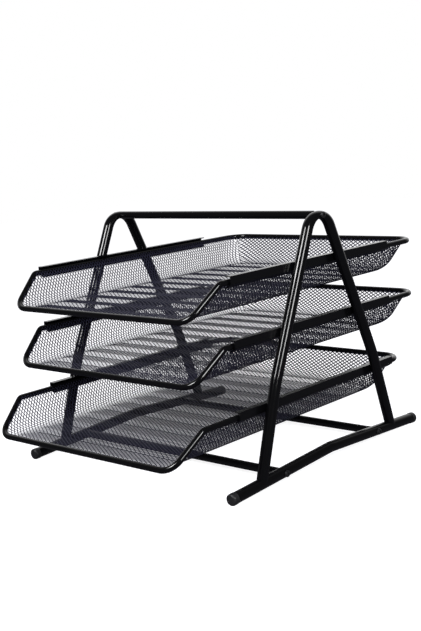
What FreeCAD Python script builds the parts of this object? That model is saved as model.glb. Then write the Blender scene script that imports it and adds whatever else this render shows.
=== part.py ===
import FreeCAD, Part
import math
import os

from FreeCAD import Vector

# Three tier letter tray. Two A shaped tube frames stand side by side on bowed foot tubes, three round
# bars hold them apart, and each of three wire mesh trays slides in a pair of rails between them.
# Millimetres, Z up, X from left to right seen from the open front of the trays, front towards minus Y.

# Overall sizes
OVERALL_WIDTH = 295.0          # across the outer sides of the two frame tubes
OVERALL_HEIGHT = 254.1         # table to the top of the frame bends

# Frame tube
TUBE_DIAMETER = 11.2
TUBE_WALL = 1.0
APEX_RADIUS = 20.0             # centreline radius of the bend at the top
APEX_THICKNESS = 8.2           # the tube is squeezed flat to this height in the middle of that bend
APEX_SECTIONS = 12             # steps of the squeezed bend
KNEE_HALF_SPAN = 82.5          # from the middle of the frame to the small bend in each leg
KNEE_HEIGHT = 96.2
KNEE_RADIUS = 150.0
LEG_HALF_SPAN = 111.4          # from the middle of the frame to the lower end of each leg

# Foot tube
FOOT_HALF_LENGTH = 150.5       # along the table, without the caps
FOOT_END_LIFT = 0.2            # how far each end of the tube stays above the table
FOOT_RISE = 8.1                # how far the middle of the axis lies above its ends
FOOT_BEND_RADIUS = 50.0

# Foot caps
CAP_HEAD_LENGTH = 6.5          # beyond the end of the tube
CAP_HEAD_LIP = 0.3             # how far the head stands out beyond the tube all round
CAP_EDGE_RADIUS = 1.8
CAP_PLUG_LENGTH = 10.0         # inside the tube
CAP_PLUG_WALL = 1.5
CAP_FIT = 0.02                 # play between the plug and the bore of the tube

# Bars between the two frames
BAR_DIAMETER = 8.4
BAR_WALL = 1.0
BAR_HALF_SPAN = 80.0           # from the middle of the frame to the front and to the rear crossbar

# Screws and threaded inserts in the ends of the bars
SCREW_HEAD_DIAMETER = 6.6
SCREW_HEAD_HEIGHT = 2.2
SCREW_HEAD_ROUND = 1.2
SCREW_SHANK_DIAMETER = 3.6
SCREW_GRIP = 9.0               # length of the shank inside the bar
SOCKET_ACROSS_FLATS = 2.5
SOCKET_DEPTH = 1.3
SCREW_HOLE_PLAY = 0.15
INSERT_LENGTH = 12.0
INSERT_FIT = 0.02
INSERT_BORE_PLAY = 0.05

# Rails
RAIL_HALF_LENGTH = 129.5
RAIL_SHEET = 1.0
RAIL_FLANGE = 6.0              # width of the upper flange
RAIL_LIP_REACH = 6.5           # how far the lower lip reaches in from the outer face of the web
RAIL_LIP_SLOPE = 31.0          # degrees below level
RAIL_TOPS = {"top": 208.3, "middle": 148.6, "bottom": 80.8}

# Tray rims
RIM_DIAMETER = 6.0
RIM_SIDE_PLAY = 0.8            # between the rim and the web of the rail
RIM_TOP_PLAY = 1.9             # between the rim and the upper flange
RIM_SEAT_PLAY = 0.3            # between the rim and the lip that carries it
TRAY_LENGTH = 366.6            # between the centrelines of the front and rear rim
TRAY_REAR = 192.0              # rear rim behind the middle of the frame, tray pushed in
BOTTOM_TRAY_PULL = 35.9        # how far the bottom tray stands forward of the other two
SLANT_RUN = 35.7               # length of the sloping front of the side rims
TRAY_DEPTH = 30.4              # from the side rim down to the front rim
WALL_LEAN = 0.312              # the walls come in this much for each millimetre of depth
RIM_REAR_RADIUS = 22.0
RIM_SHOULDER_RADIUS = 6.5
RIM_FRONT_RADIUS = 17.0

# Tray mesh sheet
MESH_SHEET = 0.8
MESH_EDGE_ABOVE_RIM_AXIS = 2.0
FLOOR_BEND_RADIUS = 16.0
FLOOR_CORNER_RADIUS = 40.0     # where floor and walls would meet without their bend
CREASE_PITCH = 32.5            # distance between the pressed creases of the floor
CREASE_FIRST = 30.0            # first crease behind the front rim
CREASE_COUNT = 10
CREASE_WIDTH = 7.0
CREASE_DEPTH = 1.3
CREASE_END_GAP = 2.0           # from the end of a crease to the bend of the side wall

# Derived sizes
TUBE_RADIUS = TUBE_DIAMETER / 2.0
FOOT_END_HEIGHT = TUBE_RADIUS + FOOT_END_LIFT      # axis above the table
FRAME_X = (OVERALL_WIDTH - TUBE_DIAMETER) / 2.0
INNER_X = FRAME_X - TUBE_RADIUS
APEX_HEIGHT = OVERALL_HEIGHT - APEX_THICKNESS / 2.0
RIM_RADIUS = RIM_DIAMETER / 2.0
RIM_X = INNER_X - RAIL_SHEET - RIM_SIDE_PLAY - RIM_RADIUS
RIM_BELOW_RAIL_TOP = RAIL_SHEET + RIM_TOP_PLAY + RIM_RADIUS
LEAN_ANGLE = math.atan(WALL_LEAN)
FRONT_MOST = TRAY_REAR - TRAY_LENGTH - BOTTOM_TRAY_PULL - RIM_RADIUS
REAR_MOST = TRAY_REAR + RIM_RADIUS
FRAME_Y = -(FRONT_MOST + REAR_MOST) / 2.0
PAST = 20.0                    # how far cutting shapes run past what they cut
NEAR = 0.01                    # two heights closer than this are the same
HEXAGON_SIDES = 6

X_AXIS = Vector(1, 0, 0)
Y_AXIS = Vector(0, 1, 0)
Z_AXIS = Vector(0, 0, 1)


def one_solid(shape, name):
    """Returns the single solid of a shape, or stops with the name of the piece."""
    if len(shape.Solids) != 1:
        raise ValueError("%s has %d solids" % (name, len(shape.Solids)))
    return shape.Solids[0]


def joined(shapes):
    """Fuses shapes that meet face to face into one."""
    whole = shapes[0]
    if len(shapes) > 1:
        whole = whole.multiFuse(shapes[1:])
    return whole.removeSplitter()


def unit(vector):
    """Returns a copy of the vector with length one."""
    return Vector(vector).normalize()


def cylinder_between(start, end, diameter):
    """Round bar from one point to another."""
    along = end - start
    return Part.makeCylinder(diameter / 2.0, along.Length, start, along)


def corner(before, point, after, radius):
    """Start, end, centre, axis and angle of the arc that rounds one corner of a path."""
    way_in = unit(point - before)
    way_out = unit(after - point)
    turn = way_in.getAngle(way_out)
    cut_back = radius * math.tan(turn / 2.0)
    start = point - way_in * cut_back
    end = point + way_out * cut_back
    inward = unit(way_out - way_in * way_in.dot(way_out))
    return start, end, start + inward * radius, unit(way_in.cross(way_out)), math.degrees(turn)


def bend_piece(start, centre, axis, degrees, diameter):
    """Round bar bent on an arc."""
    direction = unit(axis.cross(start - centre))
    circle = Part.Circle(start, direction, diameter / 2.0)
    face = Part.Face(Part.Wire(circle.toShape()))
    return face.revolve(centre, axis, degrees)


def closed_bar(points, radii, diameter):
    """Closed loop of round bar with a rounded corner at each point."""
    count = len(points)
    corners = []
    for index in range(count):
        before = points[index - 1]
        after = points[(index + 1) % count]
        corners.append(corner(before, points[index], after, radii[index]))
    pieces = []
    for index in range(count):
        start, end, centre, axis, degrees = corners[index]
        next_start = corners[(index + 1) % count][0]
        pieces.append(bend_piece(start, centre, axis, degrees, diameter))
        pieces.append(cylinder_between(end, next_start, diameter))
    return joined(pieces)


def open_bar(points, radii, diameter):
    """Round bar along a path with a rounded corner at each inner point."""
    pieces = []
    reached = points[0]
    for index in range(1, len(points) - 1):
        start, end, centre, axis, degrees = corner(
            points[index - 1], points[index], points[index + 1], radii[index - 1]
        )
        pieces.append(cylinder_between(reached, start, diameter))
        pieces.append(bend_piece(start, centre, axis, degrees, diameter))
        reached = end
    pieces.append(cylinder_between(reached, points[-1], diameter))
    return joined(pieces)


def oval_wire(centre, radial, diameter, squeeze):
    """Circle about the X and radial directions, its radial size multiplied by squeeze."""
    curve = Part.Circle(Vector(0, 0, 0), Y_AXIS, diameter / 2.0).toBSpline()
    for index, pole in enumerate(curve.getPoles()):
        curve.setPole(index + 1, centre + X_AXIS * pole.x + radial * (pole.z * squeeze))
    return Part.Wire(curve.toShape())


# A frame

def foot_axis_height(y):
    """Height of the straight part of the foot tube's axis at a distance y from its middle."""
    return FOOT_END_HEIGHT + FOOT_RISE * (1.0 - abs(y) / FOOT_HALF_LENGTH)


def leg_tilt():
    """Angle of the upper legs from the vertical, in radians."""
    rise = APEX_HEIGHT - APEX_RADIUS - KNEE_HEIGHT
    reach = math.hypot(KNEE_HALF_SPAN, rise)
    return math.atan2(KNEE_HALF_SPAN, rise) - math.asin(APEX_RADIUS / reach)


def leg_bar(x, side, diameter):
    """One leg, from inside the foot tube up to where the bend at the top begins."""
    tilt = leg_tilt()
    foot = Vector(x, side * LEG_HALF_SPAN, foot_axis_height(LEG_HALF_SPAN))
    knee = Vector(x, side * KNEE_HALF_SPAN, KNEE_HEIGHT)
    bend_start = Vector(
        x,
        side * APEX_RADIUS * math.cos(tilt),
        APEX_HEIGHT - APEX_RADIUS + APEX_RADIUS * math.sin(tilt),
    )
    return open_bar([foot, knee, bend_start], [KNEE_RADIUS], diameter)


def apex_bend(x, diameter):
    """The bend at the top, squeezed in its middle."""
    tilt = leg_tilt()
    centre = Vector(x, 0, APEX_HEIGHT - APEX_RADIUS)
    half_turn = math.pi / 2.0 - tilt
    most = 1.0 - (TUBE_DIAMETER - APEX_THICKNESS) / diameter
    wires = []
    for step in range(APEX_SECTIONS + 1):
        share = 2.0 * step / APEX_SECTIONS - 1.0
        angle = share * half_turn
        radial = Vector(0, math.sin(angle), math.cos(angle))
        squeeze = 1.0 - (1.0 - most) * math.cos(share * math.pi / 2.0) ** 2
        wires.append(oval_wire(centre + radial * APEX_RADIUS, radial, diameter, squeeze))
    return Part.makeLoft(wires, True, False)


def screw_line(x_sign, y, z, reach_in, diameter, start_out=0.0):
    """Cylinder along X from outside a frame inwards, about the axis of one screw."""
    outer = Vector(x_sign * (OVERALL_WIDTH / 2.0 + start_out), y, z)
    inner = Vector(x_sign * (INNER_X - reach_in), y, z)
    return cylinder_between(outer, inner, diameter)


def screw_places():
    """The three screw positions of each side, as pairs of y and z."""
    low = foot_axis_height(BAR_HALF_SPAN)
    return [(0.0, APEX_HEIGHT), (-BAR_HALF_SPAN, low), (BAR_HALF_SPAN, low)]


def foot_path(x, extra=0.0):
    """Three points of the foot tube's axis, its ends lengthened by extra."""
    y = FOOT_HALF_LENGTH + extra
    return [
        Vector(x, -y, foot_axis_height(y)),
        Vector(x, 0, foot_axis_height(0.0)),
        Vector(x, y, foot_axis_height(y)),
    ]


def foot_bar(x, diameter, extra=0.0):
    """Solid bar along the foot tube's axis."""
    return open_bar(foot_path(x, extra), [FOOT_BEND_RADIUS], diameter)


def screw_hole(x_sign, y, z):
    """Hole for one screw through both walls of a frame tube."""
    width = SCREW_SHANK_DIAMETER + 2.0 * SCREW_HOLE_PLAY
    return screw_line(x_sign, y, z, PAST / 2.0, width, PAST)


def a_frame_tube(x_sign):
    """One bent tube with both legs, fitted onto its foot tube."""
    x = x_sign * FRAME_X
    bore = TUBE_DIAMETER - 2.0 * TUBE_WALL
    outside = joined([leg_bar(x, -1, TUBE_DIAMETER), apex_bend(x, TUBE_DIAMETER), leg_bar(x, 1, TUBE_DIAMETER)])
    inside = joined([leg_bar(x, -1, bore), apex_bend(x, bore), leg_bar(x, 1, bore)])
    tube = outside.cut(inside)
    tube = tube.cut(foot_bar(x, TUBE_DIAMETER))
    y, z = screw_places()[0]
    tube = tube.cut(screw_hole(x_sign, y, z))
    return one_solid(tube, "a frame tube")


def foot_tube(x_sign):
    """Bowed tube on which one frame stands."""
    x = x_sign * FRAME_X
    tube = foot_bar(x, TUBE_DIAMETER).cut(foot_bar(x, TUBE_DIAMETER - 2.0 * TUBE_WALL, PAST))
    for y, z in screw_places()[1:]:
        tube = tube.cut(screw_hole(x_sign, y, z))
    return one_solid(tube, "foot tube")


def foot_cap(x_sign, y_sign):
    """Plug with a round head in one end of a foot tube, flat where it rests on the table."""
    x = x_sign * FRAME_X
    path = foot_path(x)
    tube_end = path[0]
    if y_sign > 0:
        tube_end = path[2]
    outward = unit(tube_end - path[1])
    head = cylinder_between(tube_end, tube_end + outward * CAP_HEAD_LENGTH, TUBE_DIAMETER + 2.0 * CAP_HEAD_LIP)
    far_edge = max(head.Edges, key=lambda edge: abs(edge.CenterOfMass.y))
    head = head.makeFillet(CAP_EDGE_RADIUS, [far_edge])
    plug_end = tube_end - outward * CAP_PLUG_LENGTH
    plug_diameter = TUBE_DIAMETER - 2.0 * (TUBE_WALL + CAP_FIT)
    plug = cylinder_between(plug_end, tube_end, plug_diameter)
    bore = cylinder_between(plug_end - outward * PAST, tube_end, plug_diameter - 2.0 * CAP_PLUG_WALL)
    cap = joined([head, plug]).cut(bore)
    below_table = Part.makeBox(2.0 * PAST, 2.0 * PAST, PAST, Vector(x - PAST, tube_end.y - PAST, -PAST))
    return one_solid(cap.cut(below_table), "foot cap")


# Bars, inserts and screws

def cross_bar(y, z):
    """Round tube between the inner sides of the two frames."""
    left = Vector(-INNER_X, y, z)
    right = Vector(INNER_X, y, z)
    beyond = X_AXIS * PAST
    bore = cylinder_between(left - beyond, right + beyond, BAR_DIAMETER - 2.0 * BAR_WALL)
    return one_solid(cylinder_between(left, right, BAR_DIAMETER).cut(bore), "cross bar")


def thread_insert(x_sign, y, z):
    """Bush inside the end of a bar that takes one screw."""
    outer = BAR_DIAMETER - 2.0 * (BAR_WALL + INSERT_FIT)
    end = Vector(x_sign * INNER_X, y, z)
    inner_end = end - X_AXIS * (x_sign * INSERT_LENGTH)
    bush = cylinder_between(end, inner_end, outer)
    bore = SCREW_SHANK_DIAMETER + 2.0 * INSERT_BORE_PLAY
    return bush.cut(screw_line(x_sign, y, z, INSERT_LENGTH + PAST, bore))


def hexagon_prism(centre, direction, across_flats, length):
    """Six sided prism that starts at centre and runs along direction."""
    corner_radius = across_flats / math.sqrt(3.0)
    points = []
    for index in range(HEXAGON_SIDES + 1):
        angle = 2.0 * math.pi * index / HEXAGON_SIDES
        points.append(
            centre + Y_AXIS * (corner_radius * math.cos(angle)) + Z_AXIS * (corner_radius * math.sin(angle))
        )
    return Part.Face(Part.makePolygon(points)).extrude(direction * length)


def frame_screw(x_sign, y, z):
    """Button headed socket screw from the outer side of a frame into the end of a bar."""
    outward = X_AXIS * x_sign
    seat = Vector(x_sign * OVERALL_WIDTH / 2.0, y, z)
    top = seat + outward * SCREW_HEAD_HEIGHT
    head = cylinder_between(seat, top, SCREW_HEAD_DIAMETER)
    rim_edge = max(head.Edges, key=lambda edge: abs(edge.CenterOfMass.x))
    head = head.makeFillet(SCREW_HEAD_ROUND, [rim_edge])
    socket = hexagon_prism(top, outward * -1.0, SOCKET_ACROSS_FLATS, SOCKET_DEPTH)
    shank = screw_line(x_sign, y, z, SCREW_GRIP, SCREW_SHANK_DIAMETER)
    return joined([head.cut(socket), shank])


def for_all_screws(maker):
    """The same small part at all six screw positions."""
    solids = []
    for x_sign in (-1, 1):
        for y, z in screw_places():
            solids.append(one_solid(maker(x_sign, y, z), "small part"))
    return Part.makeCompound(solids)


# Rails

def rail_profile():
    """Outline of the rail as pairs: distance in from the web's outer face, height above the rail top."""
    slope = math.radians(RAIL_LIP_SLOPE)
    fall = math.tan(slope)
    rim_in = INNER_X - RIM_X
    stand_off = RIM_RADIUS + RIM_SEAT_PLAY
    lip_u = rim_in - stand_off * math.sin(slope)
    lip_v = -RIM_BELOW_RAIL_TOP - stand_off * math.cos(slope)
    inner_corner_v = lip_v + (lip_u - RAIL_SHEET) * fall
    tip_v = lip_v - (RAIL_LIP_REACH - lip_u) * fall
    under_drop = RAIL_SHEET * math.cos(slope)
    under_back = RAIL_SHEET * math.sin(slope)
    outer_corner_v = lip_v - under_drop + (lip_u - under_back) * fall
    return [
        (0.0, 0.0),
        (RAIL_FLANGE, 0.0),
        (RAIL_FLANGE, -RAIL_SHEET),
        (RAIL_SHEET, -RAIL_SHEET),
        (RAIL_SHEET, inner_corner_v),
        (RAIL_LIP_REACH, tip_v),
        (RAIL_LIP_REACH - under_back, tip_v - under_drop),
        (0.0, outer_corner_v),
    ]


def rail(x_sign, top):
    """Bent sheet channel against the inner sides of both legs of one frame."""
    points = []
    for inward, up in rail_profile():
        points.append(Vector(x_sign * (INNER_X - inward), -RAIL_HALF_LENGTH, top + up))
    points.append(points[0])
    face = Part.Face(Part.makePolygon(points))
    return one_solid(face.extrude(Y_AXIS * (2.0 * RAIL_HALF_LENGTH)), "rail")


# Trays

def tray_rim(rear, z):
    """Closed loop of round wire: level at the sides and rear, sloping down to the low front."""
    front = rear - TRAY_LENGTH
    low_x = RIM_X - WALL_LEAN * TRAY_DEPTH
    low_z = z - TRAY_DEPTH
    points = [
        Vector(-RIM_X, rear, z),
        Vector(RIM_X, rear, z),
        Vector(RIM_X, front + SLANT_RUN, z),
        Vector(low_x, front, low_z),
        Vector(-low_x, front, low_z),
        Vector(-RIM_X, front + SLANT_RUN, z),
    ]
    radii = [
        RIM_REAR_RADIUS,
        RIM_REAR_RADIUS,
        RIM_SHOULDER_RADIUS,
        RIM_FRONT_RADIUS,
        RIM_FRONT_RADIUS,
        RIM_SHOULDER_RADIUS,
    ]
    return one_solid(closed_bar(points, radii, RIM_DIAMETER), "tray rim")


def basket_outline(half_width, front, rear, radius, z):
    """Level outline with two rounded rear corners, as a closed wire."""
    mid = radius * (1.0 - math.sqrt(0.5))
    left_start = Vector(-half_width, rear - radius, z)
    left_mid = Vector(-half_width + mid, rear - mid, z)
    left_end = Vector(-half_width + radius, rear, z)
    right_start = Vector(half_width - radius, rear, z)
    right_mid = Vector(half_width - mid, rear - mid, z)
    right_end = Vector(half_width, rear - radius, z)
    edges = [
        Part.makeLine(Vector(-half_width, front, z), left_start),
        Part.Arc(left_start, left_mid, left_end).toShape(),
        Part.makeLine(left_end, right_start),
        Part.Arc(right_start, right_mid, right_end).toShape(),
        Part.makeLine(right_end, Vector(half_width, front, z)),
        Part.makeLine(Vector(half_width, front, z), Vector(-half_width, front, z)),
    ]
    return Part.Wire(edges)


def basket_wall_inset():
    """Distance inwards from the rim's axis to the middle of the mesh wall at the height of that axis."""
    return (RIM_RADIUS + MESH_SHEET / 2.0) / math.cos(LEAN_ANGLE)


def basket_block(rear, z, grow):
    """Filled basket shape whose skin lies outside the middle of the mesh sheet by grow."""
    floor_z = z - TRAY_DEPTH - grow
    top_z = z + MESH_EDGE_ABOVE_RIM_AXIS + PAST
    front = rear - TRAY_LENGTH - PAST
    sideways = grow / math.cos(LEAN_ANGLE)
    inset = basket_wall_inset()

    def outline(height, radius):
        inward = inset - sideways - WALL_LEAN * (height - z)
        return basket_outline(RIM_X - inward, front, rear - inward, radius, height)

    top_radius = RIM_REAR_RADIUS - inset + grow
    block = Part.makeLoft([outline(floor_z, FLOOR_CORNER_RADIUS + grow), outline(top_z, top_radius)], True, True)
    bottom_edges = []
    for edge in block.Edges:
        box = edge.BoundBox
        if box.ZMax < floor_z + NEAR and box.YMax > front + NEAR:
            bottom_edges.append(edge)
    return block.makeFillet(FLOOR_BEND_RADIUS + grow, bottom_edges)


def crease_prism(y, z, half_length):
    """Wedge pointing down along one crease of the floor."""
    half = CREASE_WIDTH / 2.0
    points = [
        Vector(-half_length, y - half, z),
        Vector(-half_length, y, z - CREASE_DEPTH),
        Vector(-half_length, y + half, z),
        Vector(-half_length, y - half, z),
    ]
    return Part.Face(Part.makePolygon(points)).extrude(X_AXIS * (2.0 * half_length))


def creases(rear, z, grow):
    """All wedges that press the creases into the outer or inner face of the floor."""
    foot_x = RIM_X - basket_wall_inset() - WALL_LEAN * TRAY_DEPTH
    bend_run = FLOOR_BEND_RADIUS * math.tan((math.pi / 2.0 - LEAN_ANGLE) / 2.0)
    half_length = foot_x - bend_run - CREASE_END_GAP + grow
    first = rear - TRAY_LENGTH + CREASE_FIRST
    floor_z = z - TRAY_DEPTH - grow
    prisms = []
    for index in range(CREASE_COUNT):
        prisms.append(crease_prism(first + index * CREASE_PITCH, floor_z, half_length))
    return prisms


def side_view_block(rear, z):
    """Everything below the upper edge of the mesh sheet, from the front rim to behind the rear wall."""
    front = rear - TRAY_LENGTH
    edge = MESH_EDGE_ABOVE_RIM_AXIS
    low = z - TRAY_DEPTH
    outline = [
        (front, low - PAST),
        (rear + PAST, low - PAST),
        (rear + PAST, z + edge),
        (front + SLANT_RUN, z + edge),
        (front, low + edge),
        (front, low - PAST),
    ]
    points = [Vector(-OVERALL_WIDTH / 2.0, y, height) for y, height in outline]
    return Part.Face(Part.makePolygon(points)).extrude(X_AXIS * OVERALL_WIDTH)


def tray_mesh(rear, z, rim):
    """Mesh sheet of one tray: creased floor, two side walls and rear wall, welded inside the rim."""
    half_sheet = MESH_SHEET / 2.0
    outside = basket_block(rear, z, half_sheet).fuse(creases(rear, z, half_sheet))
    inside = basket_block(rear, z, -half_sheet).fuse(creases(rear, z, -half_sheet))
    sheet = outside.cut(inside).common(side_view_block(rear, z)).cut(rim)
    return max(sheet.Solids, key=lambda solid: solid.Volume)


def write(name, shape):
    """Saves one node, moved so that the whole stands over the origin."""
    shape.translate(Vector(0, FRAME_Y, 0))
    if not shape.isValid():
        raise ValueError("%s is not valid" % name)
    shape.exportStep("parts/%s.step" % name)


def write_frame():
    """Frames, feet, caps, bars, screws and inserts."""
    for side, x_sign in (("left", -1), ("right", 1)):
        write("%s_a_frame_tube" % side, a_frame_tube(x_sign))
        write("%s_foot_tube" % side, foot_tube(x_sign))
        write("%s_front_foot_cap" % side, foot_cap(x_sign, -1))
        write("%s_rear_foot_cap" % side, foot_cap(x_sign, 1))
    for name, place in zip(("top_handle_bar", "front_crossbar", "rear_crossbar"), screw_places()):
        write(name, cross_bar(place[0], place[1]))
    write("bar_thread_inserts", for_all_screws(thread_insert))
    write("frame_screws", for_all_screws(frame_screw))


def write_trays():
    """Rails, rims and mesh sheets of the three levels."""
    for level, rail_top in RAIL_TOPS.items():
        write("%s_left_rail" % level, rail(-1, rail_top))
        write("%s_right_rail" % level, rail(1, rail_top))
        rear = TRAY_REAR
        if level == "bottom":
            rear = TRAY_REAR - BOTTOM_TRAY_PULL
        z = rail_top - RIM_BELOW_RAIL_TOP
        rim = tray_rim(rear, z)
        mesh = tray_mesh(rear, z, rim)
        write("%s_tray_rim" % level, rim)
        write("%s_tray_mesh" % level, mesh)


os.makedirs("parts", exist_ok=True)
write_frame()
write_trays()
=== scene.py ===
import logging
import math
from collections.abc import Callable
from dataclasses import dataclass
from enum import Enum

import bpy
import numpy as np
from mathutils import Matrix, Vector


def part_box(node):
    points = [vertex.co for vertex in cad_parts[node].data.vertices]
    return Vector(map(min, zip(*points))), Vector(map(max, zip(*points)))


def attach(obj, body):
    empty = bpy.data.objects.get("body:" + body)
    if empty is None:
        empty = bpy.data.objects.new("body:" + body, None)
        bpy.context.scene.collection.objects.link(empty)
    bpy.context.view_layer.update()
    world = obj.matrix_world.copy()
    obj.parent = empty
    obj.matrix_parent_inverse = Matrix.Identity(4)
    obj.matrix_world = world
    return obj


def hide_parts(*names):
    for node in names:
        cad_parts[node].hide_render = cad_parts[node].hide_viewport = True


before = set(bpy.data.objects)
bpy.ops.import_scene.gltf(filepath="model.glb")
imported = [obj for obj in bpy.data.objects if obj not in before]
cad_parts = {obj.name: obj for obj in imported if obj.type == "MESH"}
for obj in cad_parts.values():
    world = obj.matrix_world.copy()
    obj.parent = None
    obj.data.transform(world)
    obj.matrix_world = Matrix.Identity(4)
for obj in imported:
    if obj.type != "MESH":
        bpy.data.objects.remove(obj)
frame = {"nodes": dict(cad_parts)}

LOG = logging.getLogger("letter_tray")
CAD_SHEET = 0.0008  # thickness of the closed sheet that stands in for the mesh in the CAD model
ARC_POINTS = 33  # points on a rounded corner of the rim's path
EDGE_SAMPLES = 400  # heights at which the outline of a side wall is looked up
TINY = 1e-6  # slope that keeps a level stretch rising, so that it can be looked up
TINY_DISTANCE = 1e-9  # smallest distance that is divided by, in metres
STEP_REACH = 1.01  # open corners within this many lattice steps of a cut are moved onto it
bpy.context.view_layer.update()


# Finishes


def add_node(tree: bpy.types.NodeTree, kind: str, **values: object) -> bpy.types.Node:
    """Adds a shader node and sets its input sockets.

    Args:
        tree: The node tree.
        kind: Type of the node.
        values: Values of input sockets by name, with an underscore for each space.

    Returns:
        The new node.
    """
    node = tree.nodes.new(kind)
    for name, value in values.items():
        node.inputs[name.replace("_", " ")].default_value = value
    return node


@dataclass(frozen=True)
class Finish:
    """A painted or moulded surface with a faint unevenness.

    Args:
        name: Name of the material.
        slot: Name of the material slot; not used.
        colour: Linear red, green and blue.
        roughness: Mean roughness.
        unevenness: How far the roughness swings about its mean.
        metallic: Share of bare metal, 0 for paint.
        specular: How strongly it mirrors, 0.5 for plain paint.
        grain: Size of the surface's texture in metres.
        bump: Height of the surface's texture in metres.
        detail: Layers of finer texture within the grain.
    """

    name: str
    slot: str
    colour: tuple[float, float, float]
    roughness: float
    unevenness: float = 0.05
    metallic: float = 0.0
    specular: float = 0.5
    grain: float = 0.0015
    bump: float = 0.000004
    detail: float = 2.0

    def material(self) -> bpy.types.Material:
        """Builds the material, or returns it if it exists.

        Returns:
            The node based material.
        """
        found = bpy.data.materials.get(self.name)
        if found is not None:
            return found
        material = bpy.data.materials.new(self.name)
        material.use_nodes = True
        tree = material.node_tree
        shader = tree.nodes["Principled BSDF"]
        shader.inputs["Base Color"].default_value = (*self.colour, 1.0)
        shader.inputs["Metallic"].default_value = self.metallic
        shader.inputs["Specular IOR Level"].default_value = self.specular
        place = add_node(tree, "ShaderNodeTexCoord")
        noise = add_node(tree, "ShaderNodeTexNoise", Scale=1.0 / self.grain, Detail=self.detail)
        smoothest = max(0.0, self.roughness - self.unevenness)
        spread = add_node(
            tree, "ShaderNodeMapRange", To_Min=smoothest, To_Max=self.roughness + self.unevenness
        )
        bump = add_node(tree, "ShaderNodeBump", Strength=1.0, Distance=self.bump)
        tree.links.new(place.outputs["Object"], noise.inputs["Vector"])
        tree.links.new(noise.outputs["Fac"], spread.inputs["Value"])
        tree.links.new(spread.outputs["Result"], shader.inputs["Roughness"])
        tree.links.new(noise.outputs["Fac"], bump.inputs["Height"])
        tree.links.new(bump.outputs["Normal"], shader.inputs["Normal"])
        return material

    def dress(self, piece: bpy.types.Object) -> None:
        """Gives a piece this finish.

        Args:
            piece: A mesh object.
        """
        piece.data.materials.clear()
        piece.data.materials.append(self.material())


GLOSS_BLACK = (0.0012, 0.0012, 0.0015)
FRAME_PAINT = Finish("gloss black frame paint", "frame_paint", GLOSS_BLACK, 0.13, unevenness=0.03)
RAIL_PAINT = Finish("gloss black rail paint", "rail_paint", GLOSS_BLACK, 0.18, unevenness=0.03)
RIM_PAINT = Finish("gloss black rim paint", "rim_paint", GLOSS_BLACK, 0.13, unevenness=0.03)
MESH_PAINT = Finish("satin black mesh paint", "mesh_paint", (0.011, 0.011, 0.021), 0.5, specular=0.1)
CAP_PLASTIC = Finish("black cap plastic", "cap_plastic", (0.008, 0.008, 0.009), 0.42, grain=0.0008)
SCREW_BLACK = Finish("black screw", "screw_black", (0.02, 0.02, 0.022), 0.3, metallic=0.6)
INSERT_STEEL = Finish("zinc plated insert", "insert_steel", (0.55, 0.55, 0.56), 0.3, metallic=1.0)


# Mesh baskets


@dataclass(frozen=True)
class BasketSize:
    """Sizes of one mesh basket, in metres.

    Args:
        depth: From the side rim's axis down to the front rim's axis.
        length: Between the axes of the front and rear rim.
        slant_run: Length of the sloping front of the side rims.
        lean: How far the walls come in for each metre of depth.
        rim_radius: Radius of the rim's wire.
        shoulder_radius: Bend radius of the rim where its sloping front begins.
        front_radius: Bend radius of the rim's two front corners.
        bend_radius: Radius of the bend from the floor to the walls.
        rim_corner: Bend radius of the rim's two rear corners.
        foot_corner: Corner radius where floor and walls would meet without their bend.
        crease_pitch: Distance between the pressed creases of the floor.
        crease_first: First crease behind the front rim's axis.
        crease_rise: How far the floor bulges up between two creases.
        crease_crest: Where the floor is highest, as a share of the way between two creases.
        crease_brink: Where its gentle fall ends, as a share of the same way.
        brink_height: Height there, as a share of the rise.
        crease_fade: Width over which the bulge fades out at the sides, the front and the rear.
        edge_above: How far above the axis of the rim the walls end.
        edge_inside: How far inside the axis of the rim the walls end, as a share of its radius.
        wall_past_edge: How far the cut strands of the walls run on past that, inside the wire.
        floor_past_axis: How far the floor runs on past the front rim's axis, inside the wire.
    """

    depth: float = 0.0304
    length: float = 0.3666
    slant_run: float = 0.0357
    lean: float = 0.312
    rim_radius: float = 0.003
    shoulder_radius: float = 0.0065
    front_radius: float = 0.017
    bend_radius: float = 0.016
    rim_corner: float = 0.022
    foot_corner: float = 0.040
    crease_pitch: float = 0.0325
    crease_first: float = 0.030
    crease_rise: float = 0.0021
    crease_crest: float = 0.3
    crease_brink: float = 0.88
    brink_height: float = 0.45
    crease_fade: float = 0.012
    edge_above: float = 0.0004
    edge_inside: float = 0.5
    wall_past_edge: float = 0.0012
    floor_past_axis: float = 0.0015


@dataclass(frozen=True)
class DiamondSize:
    """Sizes of the diamond mesh, in metres.

    Args:
        across: Long diagonal of one diamond.
        along: Short diagonal of one diamond.
        strand: Width of a strand in the floor and the left wall.
        right_strand: Width of a strand in the right wall.
        rear_strand: Width of a strand in the rear wall, which looks denser in the photo.
        thickness: Thickness of the sheet.
        tilt: How much higher than its sides a hole's rear corner lies, and its front corner lower.
        edge_strand: Width left beside a cut edge.
        centre_margin: How far inside the outline the centre of a diamond has to lie.
    """

    across: float = 0.0062
    along: float = 0.0038
    strand: float = 0.00082
    right_strand: float = 0.0009
    rear_strand: float = 0.00108
    thickness: float = 0.00035
    tilt: float = 0.00004
    edge_strand: float = 0.0002
    centre_margin: float = 0.0006


class WallSide(Enum):
    """The three walls of a basket."""

    LEFT = -1
    RIGHT = 1
    REAR = 0


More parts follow.
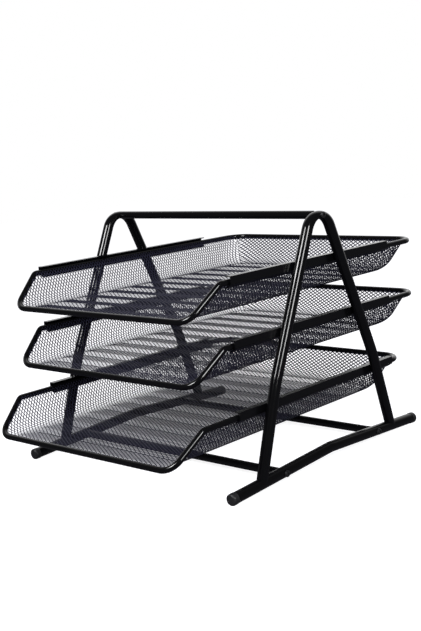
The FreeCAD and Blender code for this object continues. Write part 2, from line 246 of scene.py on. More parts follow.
def rounded_corner(
    before: np.ndarray, point: np.ndarray, after: np.ndarray, radius: float
) -> np.ndarray:
    """Points on the arc that rounds the corner between two straight lines.

    The arc touches both lines. Its centre lies from the first touching point towards the inner side of
    the corner by the radius, and the points follow cosine and sine of equal steps of the turn.

    Args:
        before: A point on the first line.
        point: Where the two lines meet.
        after: A point on the second line.
        radius: Radius of the arc.

    Returns:
        The points, one row each.
    """
    way_in = (point - before) / np.linalg.norm(point - before)
    way_out = (after - point) / np.linalg.norm(after - point)
    turn = math.acos(float(np.clip(way_in @ way_out, -1.0, 1.0)))
    start = point - way_in * radius * math.tan(turn / 2.0)
    inward = way_out - way_in * (way_in @ way_out)
    inward /= np.linalg.norm(inward)
    angle = np.linspace(0.0, turn, ARC_POINTS)[:, None]
    return start + inward * radius * (1.0 - np.cos(angle)) + way_in * radius * np.sin(angle)


class BasketSurface:
    """Where a flat sheet of mesh lies once it is pressed into a basket.

    The flat sheet has coordinates u to the right and v to the rear. The level floor ends at half the
    floor width and at the floor's rear edge. Beyond these the sheet bends up on an arc and runs on
    straight along the leaning wall.
    """

    def __init__(
        self, size: BasketSize, sheet: float, rim_x: float, rear: float, height: float
    ) -> None:
        """Keeps the sizes and works out the lengths and angles that follow from them.

        Args:
            size: Sizes of the basket.
            sheet: Thickness of the sheet.
            rim_x: Half the distance between the axes of the side rims.
            rear: Position of the rear rim's axis.
            height: Height of the side rim's axis.
        """
        self.size = size
        self.rim_x = rim_x
        self.rear = rear
        self.height = height
        self.front = rear - size.length
        self.floor = height - size.depth
        tilt = math.atan(size.lean)
        self.turn = math.pi / 2.0 - tilt
        self.rim_inset = (size.rim_radius + sheet / 2.0) / math.cos(tilt)
        self.run = size.bend_radius * math.tan(self.turn / 2.0)
        self.wall_foot_inset = self.rim_inset + size.lean * size.depth + self.run
        self.floor_corner = size.foot_corner - self.run
        self.half_floor = rim_x - self.wall_foot_inset
        self.floor_rear = rear - self.wall_foot_inset
        self.bend_length = size.bend_radius * self.turn
        bend_height = size.bend_radius * (1.0 - math.cos(self.turn))
        self.wall_length = self.bend_length + (size.depth - bend_height) / math.sin(self.turn)

    def profile(self, q: np.ndarray) -> tuple[np.ndarray, np.ndarray, np.ndarray]:
        """Outward distance, height and slope angle along a wall.

        Up to the end of the bend these are radius times the sine, radius times one minus the cosine,
        and the angle q over radius. Beyond it the wall is straight and the angle stays.

        Args:
            q: Distance along the sheet from the end of the level floor, negative on the floor.

        Returns:
            Outward distance, height above the floor, and slope angle in radians.
        """
        radius = self.size.bend_radius
        angle = np.clip(q / radius, 0.0, self.turn)
        beyond = np.maximum(q - self.bend_length, 0.0)
        outward = radius * np.sin(angle) + beyond * math.cos(self.turn) + np.minimum(q, 0.0)
        upward = radius * (1.0 - np.cos(angle)) + beyond * math.sin(self.turn)
        return outward, upward, angle

    def corner_radius(self, q: np.ndarray) -> np.ndarray:
        """Corner radius at a distance q up the sheet.

        The unbent wall has the foot's radius at the floor and the rim's radius less its inset at the
        top, and changes evenly with the height. In the bend the radius is less by as much as the sheet
        lies inside that wall.

        Args:
            q: Distance along the sheet from the end of the level floor.

        Returns:
            Radius in the plan.
        """
        size = self.size
        outward, upward, _ = self.profile(q)
        top_corner = size.rim_corner - self.rim_inset
        unbent = size.foot_corner + (top_corner - size.foot_corner) * upward / size.depth
        return unbent - (self.run + size.lean * upward - outward)

    def bulge(self, x: np.ndarray, y: np.ndarray) -> tuple[np.ndarray, np.ndarray]:
        """Height and slope of the creased floor.

        Between two creases, where t runs from 0 to 1, the floor climbs evenly to its crest, falls
        gently to the brink and drops from there to the next crease. The whole lies half the rise
        lower, and fades out by a smooth step at the sides, the front and the rear.

        Args:
            x: Position to the right.
            y: Position to the rear.

        Returns:
            Height above the level floor, and its slope along y.
        """
        size = self.size
        t = np.mod((y - self.front - size.crease_first) / size.crease_pitch, 1.0)
        places = np.array([0.0, size.crease_crest, size.crease_brink, 1.0])
        heights = np.array([0.0, 1.0, size.brink_height, 0.0])
        slopes = np.diff(heights) / np.diff(places) / size.crease_pitch
        height = size.crease_rise * (np.interp(t, places, heights) - 0.5)
        slope = size.crease_rise * slopes[np.searchsorted(places[1:-1], t)]
        side = np.clip((self.half_floor - np.abs(x)) / size.crease_fade, 0.0, 1.0)
        rear = np.clip((self.floor_rear - y) / size.crease_fade, 0.0, 1.0)
        front = np.clip((y - self.front) / size.crease_fade, 0.0, 1.0)
        fade = np.ones_like(height)
        for share in (side, rear, front):
            fade = fade * share * share * (3.0 - 2.0 * share)
        return height * fade, slope * fade

    def on_floor(self, u: np.ndarray, v: np.ndarray) -> tuple[np.ndarray, np.ndarray]:
        """Points and upward normals of the floor and of the bends beside it.

        Args:
            u: Flat coordinate to the right.
            v: Flat coordinate to the rear.

        Returns:
            Points and normals, three columns each.
        """
        side, side_up, side_angle = self.profile(np.abs(u) - self.half_floor)
        back, back_up, back_angle = self.profile(v - self.floor_rear)
        x = np.sign(u) * (self.half_floor + side)
        y = self.floor_rear + back
        bulge, slope = self.bulge(x, y)
        z = self.floor + side_up + back_up + bulge
        normal = np.stack(
            [
                -np.sign(u) * np.sin(side_angle),
                -np.sin(back_angle) - slope,
                np.cos(side_angle) * np.cos(back_angle),
            ],
            axis=1,
        )
        normal /= np.linalg.norm(normal, axis=1)[:, None]
        return np.stack([x, y, z], axis=1), normal

    def corner_path(self, q: np.ndarray) -> tuple[np.ndarray, np.ndarray]:
        """Straight length and corner length of a wall at a distance q up the sheet.

        Both count from the line across the wall where the floor's own corner begins, and the corner
        length ends half way round the corner.

        Args:
            q: Distance up the sheet from the end of the level floor.

        Returns:
            Straight length and corner length.
        """
        outward = self.profile(q)[0]
        radius = self.corner_radius(q)
        return outward + self.floor_corner - radius, radius * math.pi / 4.0

    def on_wall(self, side: WallSide, p: np.ndarray, q: np.ndarray) -> tuple[np.ndarray, np.ndarray]:
        """Points and inward normals of a wall with its half of each rear corner.

        The wall runs straight up to its corner, and then round it on an arc whose radius changes with
        the height. The rear wall is worked out like a side wall, mirrored about the corner's diagonal.

        Args:
            side: Which wall.
            p: Distance along the wall: the flat coordinate v on a side wall and u on the rear wall.
            q: Distance up the sheet from the end of the level floor.

        Returns:
            Points and normals, three columns each.
        """
        ends = self.half_floor if side is WallSide.REAR else self.floor_rear
        sign = np.where(p < 0.0, -1.0, 1.0) if side is WallSide.REAR else np.ones_like(p)
        start = ends - self.floor_corner
        outward, upward, angle = self.profile(q)
        radius = self.corner_radius(np.maximum(q, 0.0))
        straight = self.corner_path(np.maximum(q, 0.0))[0]
        ahead = p * sign - start
        round_angle = np.clip((ahead - straight) / radius, 0.0, None)
        forward = start + np.minimum(ahead, straight) + radius * np.sin(round_angle)
        across = outward - radius * (1.0 - np.cos(round_angle))
        level_forward = np.sin(round_angle)
        level_across = np.cos(round_angle)
        if side is WallSide.REAR:
            x, y = forward * sign, self.floor_rear + across
            nx, ny = level_forward * sign, level_across
        else:
            x, y = side.value * (self.half_floor + across), forward
            nx, ny = side.value * level_across, level_forward
        points = np.stack([x, y, self.floor + upward], axis=1)
        normal = np.stack([-nx * np.sin(angle), -ny * np.sin(angle), np.cos(angle)], axis=1)
        return points, normal

    def side_edge(self, v: np.ndarray) -> np.ndarray:
        """How far up a side wall the sheet reaches, following the rim down to the front.

        The rim's axis is rounded at its shoulder and at its front corner. The sheet ends a little
        above the height of that axis and stays a little inside it.

        Args:
            v: Position to the rear.

        Returns:
            Distance up the sheet from the end of the level floor.
        """
        size = self.size
        low_x = self.rim_x - size.lean * size.depth
        rear = np.array([self.rim_x, self.rear, self.height])
        shoulder = np.array([self.rim_x, self.front + size.slant_run, self.height])
        front = np.array([low_x, self.front, self.floor])
        other = np.array([-low_x, self.front, self.floor])
        path = np.concatenate(
            [
                rear[None],
                rounded_corner(rear, shoulder, front, size.shoulder_radius),
                rounded_corner(shoulder, front, other, size.front_radius),
            ]
        )[::-1]
        rim_x = np.interp(v, path[:, 1], path[:, 0])
        rim_z = np.interp(v, path[:, 1], path[:, 2])
        q = np.linspace(-size.front_radius * 2.0, self.wall_length, EDGE_SAMPLES)
        outward, upward, _ = self.profile(q)
        by_height = np.interp(rim_z + size.edge_above - self.floor, upward + q * TINY, q)
        by_width = np.interp(rim_x - size.rim_radius * size.edge_inside, self.half_floor + outward, q)
        return np.minimum(by_height, by_width)


class DiamondSheet:
    """Turns a lattice of diamonds into a closed mesh on a surface."""

    def __init__(self, size: DiamondSize) -> None:
        """Keeps the sizes of the diamond mesh."""
        self.size = size

    def centres(
        self, u_range: tuple[float, float], v_range: tuple[float, float], swapped: bool
    ) -> np.ndarray:
        """Whole number lattice positions of all diamond centres in a flat rectangle.

        Args:
            u_range: Lowest and highest u.
            v_range: Lowest and highest v.
            swapped: True where the second coordinate runs along the long diagonals.

        Returns:
            Two columns of whole numbers whose sum is even, in half diagonals.
        """
        step_u, step_v = self.steps(swapped)
        a = np.arange(math.floor(u_range[0] / step_u) - 1, math.ceil(u_range[1] / step_u) + 2)
        b = np.arange(math.floor(v_range[0] / step_v) - 1, math.ceil(v_range[1] / step_v) + 2)
        grid_a, grid_b = np.meshgrid(a, b, indexing="ij")
        even = (grid_a + grid_b) % 2 == 0
        return np.stack([grid_a[even], grid_b[even]], axis=1)

    def steps(self, swapped: bool) -> tuple[float, float]:
        """Half diagonals of one diamond along the first and the second coordinate."""
        across, along = self.size.across / 2.0, self.size.along / 2.0
        return (along, across) if swapped else (across, along)

    def flat_corners(
        self, centres: np.ndarray, swapped: bool, strand: float
    ) -> tuple[np.ndarray, np.ndarray, np.ndarray]:
        """Flat positions of the shared outer corners and of each diamond's own hole corners.

        The hole is the diamond shrunk about its centre until the strands between two holes have their
        width: the shrinking is one minus half the strand over the diamond's inner radius.

        Args:
            centres: Lattice positions of the diamonds.
            swapped: True where the second coordinate runs along the long diagonals.
            strand: Width of a strand.

        Returns:
            Outer corners (one row each), the outer corner numbers of each diamond (four columns), and
            the hole corners (diamond, corner, coordinate).
        """
        step = np.array(self.steps(swapped))
        reach = np.array([[1, 0], [0, 1], [-1, 0], [0, -1]])
        lattice = centres[:, None, :] + reach[None]
        flat, index = np.unique(lattice.reshape(-1, 2), axis=0, return_inverse=True)
        inner_radius = step[0] * step[1] / math.hypot(step[0], step[1])
        shrink = 1.0 - strand / 2.0 / inner_radius
        holes = (centres[:, None, :] + reach[None] * shrink) * step
        return flat * step, index.reshape(-1, 4), holes

    def open_edges(self, outer: np.ndarray) -> np.ndarray:
        """Outer edges that only one diamond has.

        Args:
            outer: The outer corner numbers of each diamond.

        Returns:
            Two columns of corner numbers.
        """
        edges = np.stack([outer, np.roll(outer, -1, axis=1)], axis=2).reshape(-1, 2)
        _, first, seen = np.unique(np.sort(edges, axis=1), axis=0, return_index=True, return_counts=True)
        return edges[first[seen == 1]]

    def faces(self, outer: np.ndarray, outer_count: int) -> np.ndarray:
        """Quads of the upper side, lower side, holes and cut edges.

        Vertices come in four runs: outer upper, outer lower, hole upper, hole lower. Each diamond has
        four quads on the upper side, four on the lower side and four in its hole. An outer edge that
        only one diamond has gets a quad that closes the sheet's thickness.

        Args:
            outer: The outer corner numbers of each diamond.
            outer_count: Number of outer corners.

        Returns:
            Four columns of vertex numbers, facing outwards.
        """
        count = len(outer)
        hole = 2 * outer_count + np.arange(4 * count).reshape(-1, 4)
        hole_low = hole + 4 * count
        outer_next, hole_next, hole_low_next = (
            np.roll(part, -1, axis=1) for part in (outer, hole, hole_low)
        )
        upper = np.stack([outer, outer_next, hole_next, hole], axis=2)
        lower = np.stack([outer_next, outer, hole_low, hole_low_next], axis=2)
        lower[:, :, :2] += outer_count
        inner = np.stack([hole, hole_next, hole_low_next, hole_low], axis=2)
        start, end = self.open_edges(outer).T
        closing = np.stack([end, start, start + outer_count, end + outer_count], axis=1)
        return np.concatenate([part.reshape(-1, 4) for part in (upper, lower, inner, closing)])

    def build(self, name: str, patches: list[tuple[np.ndarray, np.ndarray]]) -> bpy.types.Object:
        """Makes one object of several patches.

        Args:
            name: Name of the object.
            patches: Vertices and quads of each patch.

        Returns:
            The new object, at the origin.
        """
        vertices = np.concatenate([patch[0] for patch in patches])
        offsets = np.cumsum([0] + [len(patch[0]) for patch in patches[:-1]])
        quads = np.concatenate([patch[1] + offset for patch, offset in zip(patches, offsets)])
        mesh = bpy.data.meshes.new(name)
        mesh.vertices.add(len(vertices))
        mesh.vertices.foreach_set("co", vertices.astype(np.float32).ravel())
        mesh.loops.add(quads.size)
        mesh.loops.foreach_set("vertex_index", quads.astype(np.int32).ravel())
        mesh.polygons.add(len(quads))
        mesh.polygons.foreach_set("loop_start", np.arange(0, quads.size, 4, dtype=np.int32))
        mesh.update(calc_edges=True)
        mesh.validate()
        piece = bpy.data.objects.new(name, mesh)
        bpy.context.scene.collection.objects.link(piece)
        return piece


# Cuts flat points to an outline, which lies further in by a distance, and moves loose points onto it.
Trim = Callable[[np.ndarray, float, np.ndarray], np.ndarray]
# Lays flat points on the pressed surface and gives their places and normals.
Lay = Callable[[np.ndarray], tuple[np.ndarray, np.ndarray]]


class MeshBasket:
    """Floor and walls of one tray in real diamond mesh."""

    def __init__(self, surface: BasketSurface, sheet: DiamondSheet) -> None:
        """Keeps the surface that the sheet is pressed to, and the sheet."""
        self.surface = surface
        self.sheet = sheet

    def raised(self, points: np.ndarray, normals: np.ndarray, lift: np.ndarray) -> np.ndarray:
        """Moves points along their normals."""
        return points + normals * lift[:, None]

    def patch(
        self, trim: Trim, lay: Lay, outer_flat: np.ndarray, outer: np.ndarray, holes: np.ndarray
    ) -> tuple[np.ndarray, np.ndarray]:
        """Vertices and quads of one lattice laid on the surface.

        The corners of open edges are moved onto the cut, and each hole corner beside them moves by the
        same amount, so that the strands keep their width there.

        Args:
            trim: Cuts the flat lattice to its outline.
            lay: Lays the trimmed lattice on the surface.
            outer_flat: Flat positions of the outer corners.
            outer: Outer corner numbers of each diamond.
            holes: Flat positions of the hole corners.

        Returns:
            Vertices and quads.
        """
        half = self.sheet.size.thickness / 2.0
        tilt = self.sheet.size.tilt
        lean = np.tile(np.array([0.0, tilt, 0.0, -tilt]), len(holes))
        loose = np.zeros(len(outer_flat), dtype=bool)
        loose[self.sheet.open_edges(outer).ravel()] = True
        outer_trimmed = trim(outer_flat, 0.0, loose)
        follow = outer_trimmed - trim(outer_flat, 0.0, np.zeros_like(loose))
        flat_holes = (holes + follow[outer]).reshape(-1, 2)
        margin = self.sheet.size.edge_strand
        hole_trimmed = trim(flat_holes, margin, np.zeros(len(flat_holes), dtype=bool))
        outer_points, outer_normals = lay(outer_trimmed)
        hole_points, hole_normals = lay(hole_trimmed)
        level = np.zeros(len(outer_points))
        vertices = np.concatenate(
            [
                self.raised(outer_points, outer_normals, level + half),
                self.raised(outer_points, outer_normals, level - half),
                self.raised(hole_points, hole_normals, lean + half),
                self.raised(hole_points, hole_normals, lean - half),
            ]
        )
        return vertices, self.sheet.faces(outer, len(outer_points))

    def floor_patch(self) -> tuple[np.ndarray, np.ndarray]:
        """The level, creased floor with rounded rear corners and its edge inside the front rim.

        Returns:
            Vertices and quads.
        """
        surface = self.surface
        size = self.sheet.size
        origin = surface.front
        centres = self.sheet.centres(
            (-surface.half_floor, surface.half_floor), (0.0, surface.floor_rear - origin), False
        )
        step = np.array(self.sheet.steps(False))
        u, v = centres[:, 0] * step[0], centres[:, 1] * step[1] + origin
        keep = (np.abs(u) <= surface.half_floor) & (v <= surface.floor_rear)
        keep &= v > surface.front + size.centre_margin
        keep &= self.outside_corner(u, v)[0] <= surface.floor_corner
        keep &= np.abs(u) - surface.half_floor <= surface.side_edge(v)
        outer_flat, outer, holes = self.sheet.flat_corners(centres[keep], False, size.strand)

        def trim(flat: np.ndarray, inner: float, loose: np.ndarray) -> np.ndarray:
            """Keeps the floor behind the front rim, between the sloping rims and inside its corners.

            Args:
                flat: Flat points.
                inner: How far further in the outline lies.
                loose: True for points that are moved onto the outline of a corner.

            Returns:
                The moved flat points.
            """
            right = flat[:, 0]
            back = np.maximum(flat[:, 1] + origin, surface.front - surface.size.floor_past_axis + inner)
            edge = np.maximum(surface.side_edge(back), -surface.half_floor)
            limit = surface.half_floor + edge - inner
            in_front = back < surface.front + surface.size.slant_run
            right = np.where(in_front, np.clip(right, -limit, limit), right)
            distance, centre_u, centre_v = self.outside_corner(right, back)
            radius = surface.floor_corner - inner
            moved = (distance > radius) | (loose & (distance > radius - step[0]))
            pull = np.where(moved, radius / np.maximum(distance, TINY_DISTANCE), 1.0)
            right = centre_u + (right - centre_u) * pull
            back = centre_v + (back - centre_v) * pull
            return np.stack([right, back - origin], axis=1)

        def lay(flat: np.ndarray) -> tuple[np.ndarray, np.ndarray]:
            """Places and normals on the floor."""
            return surface.on_floor(flat[:, 0], flat[:, 1] + origin)

        return self.patch(trim, lay, outer_flat, outer, holes)

    def outside_corner(
        self, u: np.ndarray, v: np.ndarray
    ) -> tuple[np.ndarray, np.ndarray, np.ndarray]:
        """Distance from the centre of the nearer rear corner of the floor.

        Args:
            u: Flat coordinate to the right.
            v: Flat coordinate to the rear.

        Returns:
            The distance, which is 0 outside the corner's quadrant, and the centre's two coordinates.
        """
        surface = self.surface
        corner = surface.floor_corner
        centre_u = np.sign(u) * (surface.half_floor - corner)
        centre_v = np.full_like(v, surface.floor_rear - corner)
        in_corner = (np.abs(u) > surface.half_floor - corner) & (v > centre_v)
        distance = np.where(in_corner, np.hypot(u - centre_u, v - centre_v), 0.0)
        return distance, centre_u, centre_v

    def wall_patch(self, side: WallSide) -> tuple[np.ndarray, np.ndarray]:
        """One wall with its half of each rear corner, cut along the rim and the corner's seam.

        Args:
            side: Which wall.

        Returns:
            Vertices and quads.
        """
        surface = self.surface
        size = self.sheet.size
        rear = side is WallSide.REAR
        top = surface.wall_length
        if rear:
            origin_p, origin_q = 0.0, surface.front - surface.floor_rear
            reach = surface.half_floor + top
            p_range, ends = (-reach, reach), surface.half_floor
        else:
            origin_p, origin_q = surface.front, -surface.half_floor
            p_range, ends = (0.0, surface.floor_rear + top - surface.front), surface.floor_rear
        q_range = (-origin_q, top - origin_q)
        centres = self.sheet.centres(p_range, q_range, not rear)
        step = np.array(self.sheet.steps(not rear))
        p, q = centres[:, 0] * step[0] + origin_p, centres[:, 1] * step[1] + origin_q
        start = ends - surface.floor_corner
        ahead = (np.abs(p) if rear else p) - start
        seam = sum(surface.corner_path(np.maximum(q, 0.0)))
        highest = np.full_like(q, top - size.centre_margin)
        edge = highest if rear else np.minimum(surface.side_edge(p), highest)
        keep = (q > 0.0) & (q <= edge) & (ahead <= seam)
        if not rear:
            keep &= p > surface.front + size.centre_margin
        strands = {
            WallSide.LEFT: size.strand,
            WallSide.RIGHT: size.right_strand,
            WallSide.REAR: size.rear_strand,
        }
        outer_flat, outer, holes = self.sheet.flat_corners(centres[keep], not rear, strands[side])

        def trim(flat: np.ndarray, inner: float, loose: np.ndarray) -> np.ndarray:
            """Keeps the wall below the sloping rim and on its own side of the corner's seam.

            Args:
                flat: Flat points.
                inner: How far further in the outline lies.
                loose: True for points that are moved onto the foot and the seam of a corner.

            Returns:
                The moved flat points.
            """
            along, up = flat[:, 0] + origin_p, flat[:, 1] + origin_q
            sign = np.where(along < 0.0, -1.0, 1.0) if rear else np.ones_like(along)
            forward = along * sign - start
            if not rear:
                limit = surface.side_edge(along) + surface.size.wall_past_edge - inner
                sloping = along < surface.front + surface.size.slant_run
                up = np.where(sloping, np.minimum(up, limit), up)
            in_corner = forward > 0.0
            loose = loose & in_corner
            up = np.where(in_corner, np.maximum(up, inner), up)
            up = np.where(loose & (up < step[1] * STEP_REACH), 0.0, up)
            limit = sum(surface.corner_path(np.maximum(up, 0.0))) - inner
            near_seam = loose & (forward > limit - step[0] * STEP_REACH)
            forward = np.where(near_seam, limit, np.minimum(forward, limit))
            along = np.where(in_corner, (start + forward) * sign, along)
            return np.stack([along - origin_p, up - origin_q], axis=1)

        def lay(flat: np.ndarray) -> tuple[np.ndarray, np.ndarray]:
            """Places and normals on the wall."""
            return surface.on_wall(side, flat[:, 0] + origin_p, flat[:, 1] + origin_q)

        vertices, quads = self.patch(trim, lay, outer_flat, outer, holes)
        if side is WallSide.RIGHT:
            quads = quads[:, ::-1]
        return vertices, quads


# Sub-assemblies


class TrayLevel(Enum):
    """The three trays, by the first word of their nodes' names."""

    TOP = "top"
    MIDDLE = "middle"
    BOTTOM = "bottom"


class SideFrames:
    """The two tube frames with their feet, caps, bars, screws and rails, carried over from the CAD.

    Nodes whose names end with a word in FINISHES get that finish, and all others the frame's paint.
    """

    FINISHES: dict[str, Finish] = {
        "foot_cap": CAP_PLASTIC,
        "screws": SCREW_BLACK,
        "inserts": INSERT_STEEL,
        "rail": RAIL_PAINT,
    }

    def __init__(self, nodes: dict[str, bpy.types.Object]) -> None:
        """Keeps the nodes of the frame.

        Args:
            nodes: CAD nodes by name.
        """
        self.nodes = {name: node for name, node in nodes.items() if "tray" not in name}

    def dress(self) -> None:
        """Gives every node its finish."""
        for name, node in self.nodes.items():
            finish = FRAME_PAINT
            for word, other in self.FINISHES.items():
                if name.endswith(word):
                    finish = other
            finish.dress(node)
            LOG.info("%s: %s", name, finish.name)


class Tray:
    """One sliding tray: the CAD rim and a basket of real diamond mesh."""

    def __init__(
        self,
        level: TrayLevel,
        nodes: dict[str, bpy.types.Object],
        size: BasketSize,
        diamond: DiamondSize,
    ) -> None:
        """Measures the rim and lays out the basket inside it.

        Args:
            level: Which tray.
            nodes: CAD nodes by name.
            size: Sizes of the basket.
            diamond: Sizes of the mesh.
        """
        self.name = level.value
        self.rim = nodes[f"{self.name}_tray_rim"]
        low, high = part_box(f"{self.name}_tray_rim")
        rim_x = (high.x - low.x) / 2.0 - size.rim_radius
        surface = BasketSurface(
            size, CAD_SHEET, rim_x, high.y - size.rim_radius, high.z - size.rim_radius
        )
        self.basket = MeshBasket(surface, DiamondSheet(diamond))

    def build(self) -> None:
        """Builds the mesh pieces and lets them ride on the tray's body."""
        basket = self.basket
        floor = basket.sheet.build(f"{self.name}_mesh_floor", [basket.floor_patch()])
        walls = basket.sheet.build(
            f"{self.name}_mesh_walls", [basket.wall_patch(side) for side in WallSide]
        )
        for piece in (floor, walls):
            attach(piece, f"{self.name}_tray")
            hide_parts(f"{self.name}_tray_mesh")
            MESH_PAINT.dress(piece)
            LOG.info("%s: %d faces", piece.name, len(piece.data.polygons))

    def dress(self) -> None:
        """Gives the rim its finish."""
        RIM_PAINT.dress(self.rim)
        LOG.info("%s: %s", self.rim.name, RIM_PAINT.name)


# Studio


@dataclass(frozen=True)
class CameraPlace:
    """Where the photo was taken from.

    Args:
        position: Camera position in metres.
        azimuth: Degrees from the view along +Y.
        elevation: Degrees above the horizon.
        roll: Degrees of tilt of the picture.
        lens: Focal length in millimetres.
        sensor: Length of the sensor's longer side in millimetres.
        shift_y: Vertical shift of the picture, as a share of its longer side.
    """

    position: tuple[float, float, float] = (0.7714, -0.8419, 0.3405)
    azimuth: float = 42.55
    elevation: float = 9.66
    roll: float = -4.15
    lens: float = 61.27
    sensor: float = 36.0
    shift_y: float = -0.0055

    def build(self) -> None:
        """Makes the scene's camera."""
        angles = (self.azimuth, self.elevation, self.roll)
        azimuth, elevation, roll = (math.radians(angle) for angle in angles)
        forward = Vector(
            (
                -math.sin(azimuth) * math.cos(elevation),
                math.cos(azimuth) * math.cos(elevation),
                -math.sin(elevation),
            )
        )
        right = Vector((math.cos(azimuth), math.sin(azimuth), 0.0))
        up = right.cross(forward)
        right_rolled = right * math.cos(roll) + up * math.sin(roll)
        up_rolled = up * math.cos(roll) - right * math.sin(roll)
        rows = Matrix((right_rolled, up_rolled, -forward)).transposed()
        data = bpy.data.cameras.new("photo camera")
        data.lens = self.lens
        data.sensor_width = self.sensor
        data.shift_y = self.shift_y
        camera = bpy.data.objects.new("photo camera", data)
        camera.matrix_world = Matrix.Translation(self.position) @ rows.to_4x4()
        bpy.context.scene.collection.objects.link(camera)
        bpy.context.scene.camera = camera


@dataclass(frozen=True)
class SoftBox:
    """A large soft lamp.

    Args:
        name: Name of the lamp.
        position: Position in metres.
        target: Where it points.
        width: Width in metres.
        height: Height in metres.
        power: Power in watts.
        mirrored: True if the lamp shows in glossy surfaces.
    """

    name: str
    position: tuple[float, float, float]
    target: tuple[float, float, float]
    width: float
    height: float
    power: float
    mirrored: bool = True

    def build(self) -> None:
        """Makes the lamp."""
        data = bpy.data.lights.new(self.name, "AREA")
        data.shape = "RECTANGLE"
        data.size = self.width
        data.size_y = self.height
        data.energy = self.power
        lamp = bpy.data.objects.new(self.name, data)
        lamp.location = self.position
        way = Vector(self.target) - Vector(self.position)
        lamp.rotation_mode = "QUATERNION"
        lamp.rotation_quaternion = way.to_track_quat("-Z", "Y")
        lamp.visible_glossy = self.mirrored
        bpy.context.scene.collection.objects.link(lamp)


def show_to(
    tree: bpy.types.NodeTree, ray: str, these: bpy.types.NodeSocket, others: bpy.types.NodeSocket
) -> bpy.types.NodeSocket:
    """Shows one shader to rays of one kind and another one to all others.

    Args:
        tree: The node tree.
        ray: Name of the light path's output for that kind of ray.
        these: Shader for rays of that kind.
        others: Shader for all others.

    Returns:
        The combined shader.
    """
    mix = add_node(tree, "ShaderNodeMixShader")
    rays = add_node(tree, "ShaderNodeLightPath")
    tree.links.new(rays.outputs[ray], mix.inputs[0])
    tree.links.new(others, mix.inputs[1])
    tree.links.new(these, mix.inputs[2])
    return mix.outputs["Shader"]


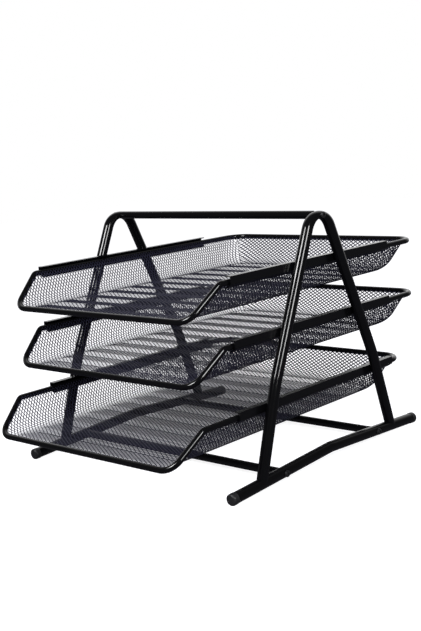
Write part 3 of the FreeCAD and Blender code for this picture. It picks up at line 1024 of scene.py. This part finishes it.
class Studio:
    """Plain pale floor, even pale surroundings, soft lamps and the camera."""

    LAMPS: tuple[SoftBox, ...] = (
        SoftBox("key", (1.17, -1.26, 1.45), (0.0, 0.0, 0.1), 0.8, 0.8, power=70.0, mirrored=False),
        SoftBox("left stripe", (-0.095, -1.35, 1.05), (0.14, 0.0, 0.22), 0.5, 0.4, power=16.0),
        SoftBox("right stripe", (1.52, -0.54, 0.82), (0.14, 0.0, 0.22), 0.4, 0.6, power=13.0),
    )
    WHITE = (1.0, 1.0, 1.0, 1.0)
    # What lights the object from all around
    PALE_GREY = (0.97, 0.98, 1.0, 1.0)
    PALE_STRENGTH = 0.35
    # What gloss mirrors: a pale backdrop behind the object, and dark surroundings elsewhere.
    # Its edge and its even core are cosines of the angle to its middle.
    BACKDROP_WAY = (-0.667, 0.726, 0.0)
    BACKDROP_EDGE = 0.3
    BACKDROP_CORE = 0.9
    DARK_STRENGTH = 0.05
    BACKDROP_STRENGTH = 1.0
    # The floor as the camera sees it, and its shade where it is seen through the bottom tray.
    # The core is the share of the reach up to which the shade is even.
    FLOOR_HALF = 3.0
    FLOOR_COLOUR = (0.4, 0.4, 0.44, 1.0)
    FLOOR_GLOW = 0.88
    SHADE_GLOW = 0.25
    SHADE_CENTRE = (-0.112, 0.07, 0.0)
    SHADE_REACH = (0.128, 0.187, 1.0)
    SHADE_CORE = 0.86
    # The floor as gloss mirrors it, and as it lights everything else
    FLOOR_MIRRORED = (0.06, 0.06, 0.07, 1.0)
    FLOOR_LIGHT = (0.35, 0.35, 0.36, 1.0)

    def build_world(self) -> None:
        """White to the camera, a pale backdrop to gloss, and pale grey to everything else.

        What gloss mirrors brightens by a smooth step with the cosine of the angle to the backdrop.
        """
        scene = bpy.context.scene
        scene.world = bpy.data.worlds.new("pale surroundings")
        scene.world.use_nodes = True
        tree = scene.world.node_tree
        pale = tree.nodes["Background"]
        pale.inputs["Color"].default_value = self.PALE_GREY
        pale.inputs["Strength"].default_value = self.PALE_STRENGTH
        white = add_node(tree, "ShaderNodeBackground", Color=self.WHITE, Strength=1.0)
        mirrored = add_node(tree, "ShaderNodeBackground", Color=self.WHITE)
        place = add_node(tree, "ShaderNodeTexCoord")
        along = add_node(tree, "ShaderNodeVectorMath")
        along.operation = "DOT_PRODUCT"
        along.inputs[1].default_value = self.BACKDROP_WAY
        level = add_node(
            tree,
            "ShaderNodeMapRange",
            From_Min=self.BACKDROP_EDGE,
            From_Max=self.BACKDROP_CORE,
            To_Min=self.DARK_STRENGTH,
            To_Max=self.BACKDROP_STRENGTH,
        )
        level.interpolation_type = "SMOOTHSTEP"
        tree.links.new(place.outputs["Generated"], along.inputs[0])
        tree.links.new(along.outputs["Value"], level.inputs["Value"])
        tree.links.new(level.outputs["Result"], mirrored.inputs["Strength"])
        unseen = show_to(
            tree, "Is Glossy Ray", mirrored.outputs["Background"], pale.outputs["Background"]
        )
        seen = show_to(tree, "Is Camera Ray", white.outputs["Background"], unseen)
        tree.links.new(seen, tree.nodes["World Output"].inputs["Surface"])

    def build_floor(self) -> None:
        """A wide floor, white to the camera but for a soft shade seen through the bottom tray.

        The floor's glow rises from the shade by a smooth step. It follows the larger of the two
        distances from the shade's centre along X and Y, each as a share of the reach.
        """
        half = self.FLOOR_HALF
        mesh = bpy.data.meshes.new("studio floor")
        corners = [(-half, -half, 0.0), (half, -half, 0.0), (half, half, 0.0), (-half, half, 0.0)]
        mesh.from_pydata(corners, [], [(0, 1, 2, 3)])
        floor = bpy.data.objects.new("studio floor", mesh)
        bpy.context.scene.collection.objects.link(floor)
        material = bpy.data.materials.new("white floor")
        material.use_nodes = True
        tree = material.node_tree
        shader = tree.nodes["Principled BSDF"]
        shader.inputs["Base Color"].default_value = self.FLOOR_COLOUR
        shader.inputs["Roughness"].default_value = 1.0
        shader.inputs["Specular IOR Level"].default_value = 0.0
        shader.inputs["Emission Color"].default_value = self.WHITE
        place = add_node(tree, "ShaderNodeTexCoord")
        share = add_node(
            tree, "ShaderNodeMapping", Location=self.SHADE_CENTRE, Scale=self.SHADE_REACH
        )
        share.vector_type = "TEXTURE"
        away = add_node(tree, "ShaderNodeVectorMath")
        away.operation = "ABSOLUTE"
        sides = add_node(tree, "ShaderNodeSeparateXYZ")
        larger = add_node(tree, "ShaderNodeMath")
        larger.operation = "MAXIMUM"
        level = add_node(
            tree,
            "ShaderNodeMapRange",
            From_Min=self.SHADE_CORE,
            From_Max=1.0,
            To_Min=self.SHADE_GLOW,
            To_Max=self.FLOOR_GLOW,
        )
        level.interpolation_type = "SMOOTHSTEP"
        tree.links.new(place.outputs["Object"], share.inputs["Vector"])
        tree.links.new(share.outputs["Vector"], away.inputs[0])
        tree.links.new(away.outputs["Vector"], sides.inputs["Vector"])
        tree.links.new(sides.outputs["X"], larger.inputs[0])
        tree.links.new(sides.outputs["Y"], larger.inputs[1])
        tree.links.new(larger.outputs["Value"], level.inputs["Value"])
        tree.links.new(level.outputs["Result"], shader.inputs["Emission Strength"])
        mirrored = add_node(tree, "ShaderNodeEmission", Color=self.FLOOR_MIRRORED)
        lighting = add_node(tree, "ShaderNodeEmission", Color=self.FLOOR_LIGHT)
        unseen = show_to(
            tree, "Is Glossy Ray", mirrored.outputs["Emission"], lighting.outputs["Emission"]
        )
        seen = show_to(tree, "Is Camera Ray", shader.outputs["BSDF"], unseen)
        tree.links.new(seen, tree.nodes["Material Output"].inputs["Surface"])
        mesh.materials.append(material)

    def build(self) -> None:
        """Builds everything around the object."""
        self.build_world()
        self.build_floor()
        for lamp in self.LAMPS:
            lamp.build()
        CameraPlace().build()
        bpy.context.scene.view_settings.view_transform = "Standard"


def main() -> None:
    """Builds the object piece by piece, then the studio."""
    logging.basicConfig(level=logging.INFO, format="%(message)s")
    nodes = frame["nodes"]
    frames = SideFrames(nodes)
    frames.dress()
    for level in TrayLevel:
        tray = Tray(level, nodes, BasketSize(), DiamondSize())
        tray.build()
        tray.dress()
    Studio().build()


if __name__ == "__main__":
    main()
